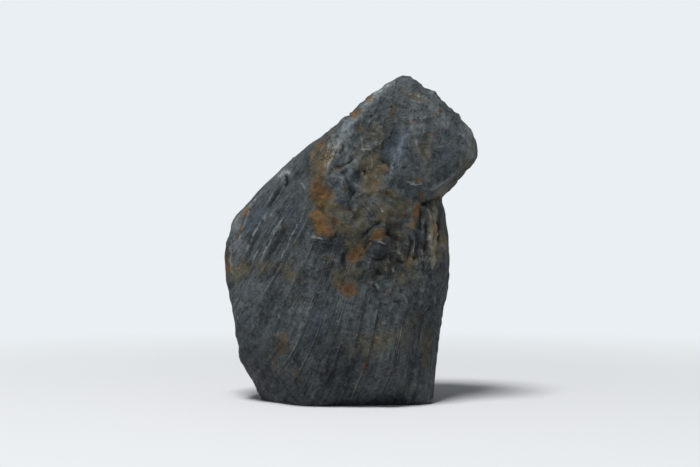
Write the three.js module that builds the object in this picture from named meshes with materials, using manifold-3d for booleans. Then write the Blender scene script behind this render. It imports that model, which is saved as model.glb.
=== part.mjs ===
// A loose, angular slate stone for an aquarium scape. It leans to the right and stands on a flat foot:
// a long slanting back on the left, a peak, and a blunt nose that overhangs a notch on the right.
// Millimetres. X to the right, Y away from the front face, Z up from the foot.
import * as THREE from 'three';
import { mergeVertices } from 'three/addons/utils/BufferGeometryUtils.js';
import Module from 'manifold-3d';

const wasm = await Module();
wasm.setup();

// Surface mesh: quads along each edge of the cube that is swollen into the stone.
const gridSegments = 28;

// The rays that find the surface start here, and are stretched and leaned like the stone itself.
const heart = [16, 0, 140];
const rayReach = [1, 0.7, 1.22];
const rayLean = 0.12;
const rayLongest = 260;
const halvings = 30;

// Flat faces of the stone. Each has a point on it, the compass heading that it looks to
// (0 front, 90 right, 180 back, -90 left) and how far it tilts up, in degrees.
const faces = {
  upperLeftTop: { at: [27, 0, 238.5], heading: -82, tilt: 57 },
  upperLeftHigh: { at: [-11.5, 0, 208.5], heading: -80, tilt: 51 },
  upperLeftLow: { at: [-67, 0, 161], heading: -74, tilt: 42.5 },
  leftEnd: { at: [-91.5, 0, 126], heading: -84, tilt: 20 },
  leftMid: { at: [-96.5, 0, 103], heading: -80, tilt: 1 },
  leftLow: { at: [-95, 0, 80], heading: -88, tilt: -17 },
  crown: { at: [52, 0, 240], heading: 80, tilt: 57 },
  upperRight: { at: [72, 0, 223.5], heading: 84, tilt: 48 },
  noseTop: { at: [92.7, 0, 206], heading: 80, tilt: 36 },
  noseEnd: { at: [99.6, 0, 187], heading: 80, tilt: -2 },
  front: { at: [15, -60, 120], heading: 5, tilt: 6 },
  frontUpper: { at: [36, -47, 205], heading: 6, tilt: 21 },
  frontLeft: { at: [-30, -56, 145], heading: -40, tilt: 9 },
  frontLeftLow: { at: [-52, -57, 48], heading: -46, tilt: -22 },
  noseFace: { at: [64, -50, 185], heading: 28, tilt: 4 },
  frontLow: { at: [4, -66, 40], heading: -6, tilt: -14 },
  frontFoot: { at: [0, -58, 15], heading: 8, tilt: -36 },
  back: { at: [-2, 56, 116], heading: 174, tilt: 7 },
  backUpper: { at: [28, 42, 205], heading: 166, tilt: 25 },
  backLeft: { at: [-60, 38, 118], heading: -138, tilt: 16 },
  backLeftLow: { at: [-62, 36, 50], heading: -128, tilt: -18 },
  backRight: { at: [67, 44, 166], heading: 134, tilt: 8 },
  backLow: { at: [6, 54, 50], heading: 188, tilt: -16 },
  backFoot: { at: [20, 46, 18], heading: 152, tilt: -38 },
  underFoot: { at: [0, 0, -12], heading: 0, tilt: -90 },
};
// The right side below the nose. The nose's underside is a roof over it: the two meet in the notch.
const rightSide = {
  rightReturn: { at: [69, 0, 144], heading: 78, tilt: 18 },
  rightLow: { at: [76, 0, 116], heading: 82, tilt: -3 },
  rightFoot: { at: [68, 0, 34], heading: 96, tilt: -20 },
  ribbedFace: { at: [53, -52, 120], heading: 42, tilt: -3 },
  backRightLow: { at: [58, 40, 100], heading: 128, tilt: -6 },
};
const noseUnderside = { at: [84.6, 26, 164.5], heading: 78, tilt: -50 };
// How hard the edges between faces are, per millimetre: more is sharper.
const edgeHardness = 0.34;
const notchHardness = 0.9;

// The layers of the slate fan out below a point above the nose; they also slant through the stone.
const layerPivot = [87, 371];
const layerRadius = 262;
const layerSlant = 0.22;
const layerWander = { cell: [60, 120, 60], octaves: 2, height: 2.5, seed: 5 };

// Break scars: hollows that meet in crests, in cells that run across, along and through the layers.
const bigScars = { cell: [38, 60, 44], seed: 14, tilt: 2.2, bowl: 1, spread: 0.9, crest: 40, level: 0.35 };
const midScars = { cell: [15, 25, 19], seed: 47, tilt: 2.2, bowl: 1, spread: 0.9, crest: 30, level: 0.35 };
const plates = { cell: [9.5, 52, 26], seed: 91, tilt: 2, bowl: 1, spread: 0.9, crest: 30, level: 0.36 };
const bigHeight = 9;
const midHeight = 3.4;
const plateHeight = 2;
const scarWarp = { cell: 12, seed: 90, reach: [1.2, 3, 2.4] };

// Hollows and raised parts, in the front view: centre, direction of the long axis in degrees from +X to
// +Z, half length, half width, height and how steep its edges are. Those with a share run through the
// whole stone, with that share of their height at the front and at the back; the others are on the front.
const marks = [
  { name: 'topDip', at: [-9, 208], turn: 40, long: 13, wide: 40, height: -3, steep: 2, share: [0.35, 1] },
  { name: 'topDipHigh', at: [-1, 215], turn: 45, long: 6, wide: 12, height: -1.3, steep: 2, share: [1, 0.4] },
  { name: 'topDipLow', at: [-23, 198], turn: 41, long: 5, wide: 12, height: -1.5, steep: 2, share: [1, 0.7] },
  { name: 'topKnob', at: [14, 230], turn: 40, long: 4.5, wide: 12, height: 1.4, steep: 2, share: [1, 0.4] },
  { name: 'noseDip', at: [59, 236], turn: -40, long: 6, wide: 14, height: -3.4, steep: 2, share: [1, 0.4] },
  { name: 'crownDip', at: [78, 218], turn: -48, long: 7, wide: 12, height: -1.1, steep: 2, share: [1, 0.4] },
  { name: 'lobe', at: [62, 184], turn: 70, long: 32, wide: 27, height: 3.6, steep: 6 },
  { name: 'lobeGroove', at: [28, 188], turn: 74, long: 28, wide: 6, height: -1.6, steep: 2 },
  { name: 'hollow', at: [-3, 162], turn: 70, long: 12, wide: 9, height: -2.4, steep: 3 },
  { name: 'block', at: [21, 108], turn: 30, long: 12, wide: 10, height: 1.5, steep: 4 },
  { name: 'underBlock', at: [24, 94], turn: 10, long: 14, wide: 5, height: -1.3, steep: 2 },
  { name: 'foldLeft', at: [-22, 165], turn: 64, long: 40, wide: 6, height: 1.2, steep: 2 },
];
const notch = { at: [71, 155], reach: 20, calm: 0.85 };
// The front's left and low parts show the layers, and the nose and the outline's sides are calmer.
const layeredLeft = { edge: -24, lean: 0.16, level: 150, fade: 6, wander: 9, cell: 30, seed: 71 };
const layeredLow = { from: 115, to: 85, lean: 0.9, wander: 14, cell: 25, seed: 72 };
const noseZone = { right: [16, 40], above: [150, 165] };
const sideAbove = [60, 100];
const calmer = { layered: 0.65, nose: 0.6, noseBig: 0.5, frontBig: 0.55, side: 0.75 };
// The least share of the scars and plates that is left where the surface is calm.
const leastMid = 0.15;
const leastPlate = 0.1;
// Towards the front, the sides are less calm, and the dips that are fainter there sway.
const rearZone = [-28, 5];
const foreCalm = 0.45;
const dipSway = { wander: 5, cell: 22, seed: 73 };
// How far a surface has to turn to the front, or to the back, from none to fully.
const toFront = [0.1, 0.45];
const toFrontMarks = [0.05, 0.5];
const toBack = [0, 0.35];

const stoneColour = 0x3b4043;
const stoneRoughness = 0.85;

const radians = THREE.MathUtils.degToRad;
const smooth = (low, high, x) => {
  const t = Math.min(1, Math.max(0, (x - low) / (high - low)));
  return t * t * (3 - 2 * t);
};

// Noise from whole-number cells.
function hash01(x, y, z, seed) {
  const v = Math.sin(x * 127.1 + y * 311.7 + z * 74.7 + seed * 53.3) * 43758.5453;
  return v - Math.floor(v);
}
function valueNoise([x, y, z], seed) {
  const cell = [x, y, z].map(Math.floor);
  const [fx, fy, fz] = [x, y, z].map((v, i) => {
    const f = v - cell[i];
    return f * f * f * (f * (f * 6 - 15) + 10);
  });
  let total = 0;
  for (const dx of [0, 1]) for (const dy of [0, 1]) for (const dz of [0, 1]) {
    const weight = (dx ? fx : 1 - fx) * (dy ? fy : 1 - fy) * (dz ? fz : 1 - fz);
    total += weight * hash01(cell[0] + dx, cell[1] + dy, cell[2] + dz, seed);
  }
  return total * 2 - 1;
}
function layeredNoise(point, seed, octaves) {
  let total = 0;
  let sum = 0;
  for (let k = 0; k < octaves; k++) {
    const share = 0.5 ** k;
    total += share * valueNoise(point.map((v) => v * 2.03 ** k), seed + k);
    sum += share;
  }
  return total / sum;
}
// Soft minimum, over the nearby cells, of tilted bowls.
function scars(point, { cell, seed, tilt, bowl, spread, crest, level }) {
  const q = point.map((v, i) => v / cell[i]);
  const base = q.map(Math.floor);
  let total = 0;
  for (const dx of [-1, 0, 1]) for (const dy of [-1, 0, 1]) for (const dz of [-1, 0, 1]) {
    const c = [base[0] + dx, base[1] + dy, base[2] + dz];
    let height = hash01(...c, seed + 6) * spread;
    for (let k = 0; k < 3; k++) {
      const r = q[k] - c[k] - hash01(...c, seed + k);
      height += (hash01(...c, seed + 3 + k) - 0.5) * tilt * r + bowl * r * r;
    }
    total += Math.exp(-crest * height);
  }
  return -Math.log(total) / crest - level;
}

function plane({ at, heading, tilt }) {
  const h = radians(heading);
  const t = radians(tilt);
  const normal = new THREE.Vector3(Math.cos(t) * Math.sin(h), -Math.cos(t) * Math.cos(h), Math.sin(t));
  return new THREE.Plane(normal, -normal.dot(new THREE.Vector3(...at)));
}
const facePlanes = Object.values(faces).map(plane);
const rightPlanes = Object.values(rightSide).map(plane);
const undersidePlane = plane(noseUnderside);

// Blends signed distances: a positive hardness keeps the largest, a negative one the smallest.
function blend(items, hardness) {
  const best = Math.max(...items.map((item) => item.value * Math.sign(hardness))) * Math.sign(hardness);
  const gradient = new THREE.Vector3();
  let total = 0;
  for (const item of items) {
    const weight = Math.exp(hardness * (item.value - best));
    gradient.addScaledVector(item.gradient, weight);
    total += weight;
  }
  return { value: best + Math.log(total) / hardness, gradient: gradient.divideScalar(total) };
}
// Signed distance to the faceted body, below zero inside it, with its outward direction.
function body(point) {
  const measure = (p) => ({ value: p.distanceToPoint(point), gradient: p.normal });
  const right = blend(rightPlanes.map(measure), edgeHardness);
  const rightAndRoof = blend([right, measure(undersidePlane)], -notchHardness);
  return blend([blend(facePlanes.map(measure), edgeHardness), rightAndRoof], edgeHardness);
}

// Height of the broken surface over the faceted body, along its outward direction.
function relief(point, outward) {
  const { x, y, z } = point;
  const dx = x - layerPivot[0];
  const dz = layerPivot[1] - z;
  const layers = [Math.atan2(dx, dz) * layerRadius + layerSlant * y, Math.hypot(dx, dz), y];
  const wander = layers.map((v, i) => v / layerWander.cell[i]);
  layers[0] += layerWander.height * layeredNoise(wander, layerWander.seed, layerWander.octaves);
  const shift = layers.map((v) => v / scarWarp.cell);
  const warped = layers.map((v, i) => v + scarWarp.reach[i] * valueNoise(shift, scarWarp.seed + i));

  const wandered = ({ wander: size, cell, seed }) => size * valueNoise([x / cell, y / cell, z / cell], seed);
  const { edge, lean, level, fade } = layeredLeft;
  const leftEdge = edge - lean * (z - level) + wandered(layeredLeft);
  const left = smooth(fade, -fade, x - leftEdge);
  const low = smooth(layeredLow.from, layeredLow.to, z + layeredLow.lean * x + wandered(layeredLow));
  const layered = Math.max(left, low) * (1 - smooth(...toBack, outward.y));
  const facing = smooth(...toFront, -outward.y);
  const nose = smooth(...noseZone.right, x) * smooth(...noseZone.above, z) * facing;
  const rough = 1 - calmer.layered * layered - calmer.nose * nose;
  const rearward = smooth(...rearZone, y);
  const edgeOn = (1 - smooth(...toFront, Math.abs(outward.y))) * smooth(...sideAbove, z);
  const side = edgeOn * (foreCalm + (1 - foreCalm) * rearward);
  const fromNotch = Math.hypot(x - notch.at[0], z - notch.at[1]) / notch.reach;
  const calm = (1 - calmer.side * side) * (1 - notch.calm * Math.exp(-fromNotch * fromNotch));
  const bigCalm = (1 - calmer.frontBig * facing) * (1 - calmer.noseBig * nose);

  let height = bigHeight * scars(layers, bigScars) * calm * bigCalm;
  height += midHeight * scars(warped, midScars) * calm * (leastMid + (1 - leastMid) * rough);
  height += plateHeight * scars(warped, plates) * calm * (leastPlate + (1 - leastPlate) * layered);
  const seen = smooth(...toFrontMarks, -outward.y);
  const sway = wandered(dipSway) * (1 - rearward);
  for (const mark of marks) {
    const a = radians(mark.turn);
    const [fore, rear] = mark.share ?? [seen, seen];
    const mx = x - mark.at[0] + (fore < rear ? sway : 0);
    const mz = z - mark.at[1];
    const u = Math.abs(mx * Math.cos(a) + mz * Math.sin(a)) / mark.long;
    const v = Math.abs(mz * Math.cos(a) - mx * Math.sin(a)) / mark.wide;
    const inMark = Math.exp(-(u ** (mark.steep + 1)) - v ** mark.steep);
    height += mark.height * inMark * (fore + (rear - fore) * rearward);
  }
  return height;
}

function surfacePoint(direction) {
  const ray = direction.clone().multiply(new THREE.Vector3(...rayReach));
  ray.x += rayLean * ray.z;
  const start = new THREE.Vector3(...heart);
  let inside = 0;
  let outside = rayLongest;
  for (let k = 0; k < halvings; k++) {
    const middle = (inside + outside) / 2;
    if (body(start.clone().addScaledVector(ray, middle)).value < 0) inside = middle;
    else outside = middle;
  }
  const point = start.addScaledVector(ray, (inside + outside) / 2);
  const outward = body(point).gradient.normalize();
  return point.clone().addScaledVector(outward, relief(point, outward));
}

function closedMesh(geometry) {
  const bare = geometry.clone();
  bare.deleteAttribute('normal');
  bare.deleteAttribute('uv');
  return mergeVertices(bare, 1e-5);
}
function toSolid(geometry) {
  const closed = closedMesh(geometry);
  const vertProperties = new Float32Array(closed.attributes.position.array);
  const triVerts = new Uint32Array(closed.index.array);
  return new wasm.Manifold(new wasm.Mesh({ numProp: 3, vertProperties, triVerts }));
}
function toGeometry(solid) {
  const mesh = solid.getMesh();
  const geometry = new THREE.BufferGeometry();
  geometry.setAttribute('position', new THREE.BufferAttribute(new Float32Array(mesh.vertProperties), 3));
  geometry.setIndex(new THREE.BufferAttribute(new Uint32Array(mesh.triVerts), 1));
  return geometry;
}

function stoneGeometry() {
  const cube = closedMesh(new THREE.BoxGeometry(2, 2, 2, gridSegments, gridSegments, gridSegments));
  const spots = cube.attributes.position;
  const direction = new THREE.Vector3();
  for (let i = 0; i < spots.count; i++) {
    direction.fromBufferAttribute(spots, i);
    direction.set(...direction.toArray().map((v) => Math.tan(v * Math.PI / 4))).normalize();
    spots.setXYZ(i, ...surfacePoint(direction).toArray());
  }
  // The foot is cut flat at z = 0, on all that hangs below it.
  const below = 60;
  const wide = 400;
  const trimmer = new THREE.BoxGeometry(wide, wide, below).translate(0, 0, -below / 2);
  const geometry = toGeometry(toSolid(cube).subtract(toSolid(trimmer)));
  geometry.computeBoundingBox();
  const middle = geometry.boundingBox.getCenter(new THREE.Vector3());
  geometry.translate(-middle.x, -middle.y, 0);
  geometry.computeVertexNormals();
  return geometry;
}

const material = new THREE.MeshStandardMaterial({
  color: stoneColour,
  roughness: stoneRoughness,
  metalness: 0,
});
const stone = new THREE.Mesh(stoneGeometry(), material);
stone.name = 'stone';
const group = new THREE.Group();
group.add(stone);
export default group;
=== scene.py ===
# A loose, angular slate stone for an aquarium scape: a long slanting back on the left, a peak,
# and a blunt nose that overhangs a notch on the right. It stands on a flat foot.
import math
import bpy
import numpy as np
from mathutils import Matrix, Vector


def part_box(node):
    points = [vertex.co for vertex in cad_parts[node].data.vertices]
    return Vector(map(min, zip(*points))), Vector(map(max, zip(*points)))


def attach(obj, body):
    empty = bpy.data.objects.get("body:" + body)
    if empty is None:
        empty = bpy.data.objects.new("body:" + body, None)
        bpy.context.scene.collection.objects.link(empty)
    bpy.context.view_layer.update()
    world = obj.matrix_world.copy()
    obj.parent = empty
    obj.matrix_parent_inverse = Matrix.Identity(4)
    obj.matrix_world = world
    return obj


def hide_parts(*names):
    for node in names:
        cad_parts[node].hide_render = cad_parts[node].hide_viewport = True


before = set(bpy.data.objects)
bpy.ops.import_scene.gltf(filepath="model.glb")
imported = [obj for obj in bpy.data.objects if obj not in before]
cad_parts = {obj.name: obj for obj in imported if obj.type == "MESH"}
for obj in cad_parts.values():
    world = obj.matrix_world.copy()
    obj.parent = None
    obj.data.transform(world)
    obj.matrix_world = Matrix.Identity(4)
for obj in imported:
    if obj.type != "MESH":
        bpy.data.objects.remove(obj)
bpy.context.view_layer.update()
print("frame loaded:", sorted(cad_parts))

# Shape. Lengths are in millimetres until the mesh is made.
stone = {
    "heart": (16, 0, 140),          # the rays that find the surface start here
    "rayReach": (1, 0.7, 1.22),     # and are stretched and leaned like the stone
    "rayLean": 0.12,
    "rayLongest": 260,
    "halvings": 30,
    "edgeHardness": 0.34,           # per millimetre: more is sharper
    "notchHardness": 0.9,
    "coarseGrid": 28,               # squares along a cube edge: the CAD solid's, and the fine mesh's
    "fineGrid": 127,
}

# The camera stands where the photograph's did, level, with a longer lens; lengths in millimetres.
camera = {"away": 1050, "up": 125, "lens": 71.2, "sensor": 36}

# Flat faces: a point on each, the compass heading that it looks to (0 front, 90 right, 180 back,
# -90 left) and how far it tilts up, in degrees.
faces = {
    "upperLeftTop": ((27, 0, 238.5), -82, 57),
    "upperLeftHigh": ((-11.5, 0, 208.5), -80, 51),
    "upperLeftLow": ((-67, 0, 161), -74, 42.5),
    "leftEnd": ((-91.5, 0, 126), -84, 20),
    "leftMid": ((-96.5, 0, 103), -80, 1),
    "leftLow": ((-95, 0, 80), -88, -17),
    "crown": ((52, 0, 240), 80, 57),
    "upperRight": ((72, 0, 223.5), 84, 48),
    "noseTop": ((92.7, 0, 206), 80, 36),
    "noseEnd": ((99.6, 0, 187), 80, -2),
    "front": ((15, -60, 120), 5, 6),
    "frontUpper": ((36, -47, 205), 6, 21),
    "frontLeft": ((-30, -56, 145), -40, 9),
    "frontLeftLow": ((-52, -57, 48), -46, -22),
    "noseFace": ((64, -50, 185), 28, 4),
    "frontLow": ((4, -66, 40), -6, -14),
    "frontFoot": ((0, -58, 15), 8, -36),
    "back": ((-2, 56, 116), 174, 7),
    "backUpper": ((28, 42, 205), 166, 25),
    "backLeft": ((-60, 38, 118), -138, 16),
    "backLeftLow": ((-62, 36, 50), -128, -18),
    "backRight": ((67, 44, 166), 134, 8),
    "backLow": ((6, 54, 50), 188, -16),
    "backFoot": ((20, 46, 18), 152, -38),
    "underFoot": ((0, 0, -12), 0, -90),
}
# The right side below the nose. The nose's underside is a roof over it: the two meet in the notch.
rightSide = {
    "rightReturn": ((69, 0, 144), 78, 18),
    "rightLow": ((76, 0, 116), 82, -3),
    "rightFoot": ((68, 0, 34), 96, -20),
    "ribbedFace": ((53, -52, 120), 42, -3),
    "backRightLow": ((58, 40, 100), 128, -6),
}
noseUnderside = {"noseUnderside": ((84.6, 26, 164.5), 78, -50)}

# The layers of the slate fan out below a point above the nose, and slant through the stone.
layering = {
    "pivot": (87, 371),
    "radius": 262,
    "slant": 0.22,
    "wanderCell": (60, 120, 60),
    "wander": 2.5,
    "warpCell": 12,
    "warp": (1.2, 3, 2.4),
}

# Break scars: hollows that meet in crests, in cells that run across, along and through the layers.
# Each cell's bowl is tilted at random by up to half of tilt, and lies up to spread higher.
bowls = {"tilt": 2.2, "spread": 0.9, "crest": 30, "level": 0.35}
bigScars = {**bowls, "cell": (38, 60, 44), "seed": 14, "crest": 40}
midScars = {**bowls, "cell": (15, 25, 19), "seed": 47}
plates = {**bowls, "cell": (9.5, 52, 26), "seed": 91, "tilt": 2, "level": 0.36}
chips = {**bowls, "cell": (5, 8, 7), "seed": 61, "spread": 1, "crest": 22}
heights = {"big": 9, "mid": 3.4, "plate": 2, "chip": 1.3, "flake": 1.5, "step": 0.45}

# Hollows and raised parts, in the front view: centre, direction of the long axis in degrees from +X to
# +Z, half length, half width, height, how steep its edges are, and for one that runs through the whole
# stone the shares of its height at the front and at the back; None for one on the front only.
marks = {
    "topDip": ((-9, 208), 40, 13, 40, -3, 2, (0.35, 1)),
    "topDipHigh": ((-1, 215), 45, 6, 12, -1.3, 2, (1, 0.4)),
    "topDipLow": ((-23, 198), 41, 5, 12, -1.5, 2, (1, 0.7)),
    "topKnob": ((14, 230), 40, 4.5, 12, 1.4, 2, (1, 0.4)),
    "noseDip": ((59, 236), -40, 6, 14, -3.4, 2, (1, 0.4)),
    "crownDip": ((78, 218), -48, 7, 12, -1.1, 2, (1, 0.4)),
    "lobe": ((62, 184), 70, 32, 27, 3.6, 6, None),
    "lobeGroove": ((28, 188), 74, 28, 6, -1.6, 2, None),
    "hollow": ((-3, 162), 70, 12, 9, -2.4, 3, None),
    "block": ((21, 108), 30, 12, 10, 1.5, 4, None),
    "underBlock": ((24, 94), 10, 14, 5, -1.3, 2, None),
    "foldLeft": ((-22, 165), 64, 40, 6, 1.2, 2, None),
}
notch = {"at": (71, 155), "reach": 20, "calm": 0.85}
# Fine relief. A layer's edge comes once in each turn; the cells are across, along and through the layers.
fine = {
    "turnWidth": 8, "turnSway": 1.1, "turnCell": (15, 420, 200), "runCell": (5, 34, 20), "run": (-0.3, 0.4),
    "quickPart": 0.22, "leastStep": 0.05, "flakeCell": 9, "drawnCell": (6, 24, 14), "leastFlake": 0.3,
    "leastChip": 0.1, "sideCalm": 0.5, "farOff": 9, "wobble": 0.9, "wobbleCell": 7, "brokenCell": 5,
    "broken": (-1.1, -0.2), "taper": 0.25, "fade": (3.2, 1.6),
}
# The front's left and low parts show the layers, and the nose and the outline's sides are calmer.
zones = {
    "leftEdge": -24, "leftLean": 0.16, "leftLevel": 150, "leftFade": 6, "leftWander": (9, 30, 71),
    "lowFrom": 115, "lowTo": 85, "lowLean": 0.9, "lowWander": (14, 25, 72),
    "noseRight": (16, 40), "noseAbove": (150, 165), "sideAbove": (60, 100),
    "layeredCalm": 0.65, "noseCalm": 0.6, "noseBigCalm": 0.5, "frontBigCalm": 0.55, "sideCalm": 0.75,
    "leastMid": 0.15, "leastPlate": 0.1,
    "rearward": (-28, 5), "foreCalm": 0.45, "dipWander": (5, 22, 73),
    "toFront": (0.1, 0.45), "toFrontMarks": (0.05, 0.5), "toBack": (0, 0.35),
}

# How far the front's stains and lines go round its edges: by direction, and by depth on the top.
reach = {"facing": (-0.12, 0.04), "edgeOn": (0.08, 0.3), "upward": (-0.1, 0.2), "border": (-38, -6),
         "wander": (26, 18, 74)}

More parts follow.
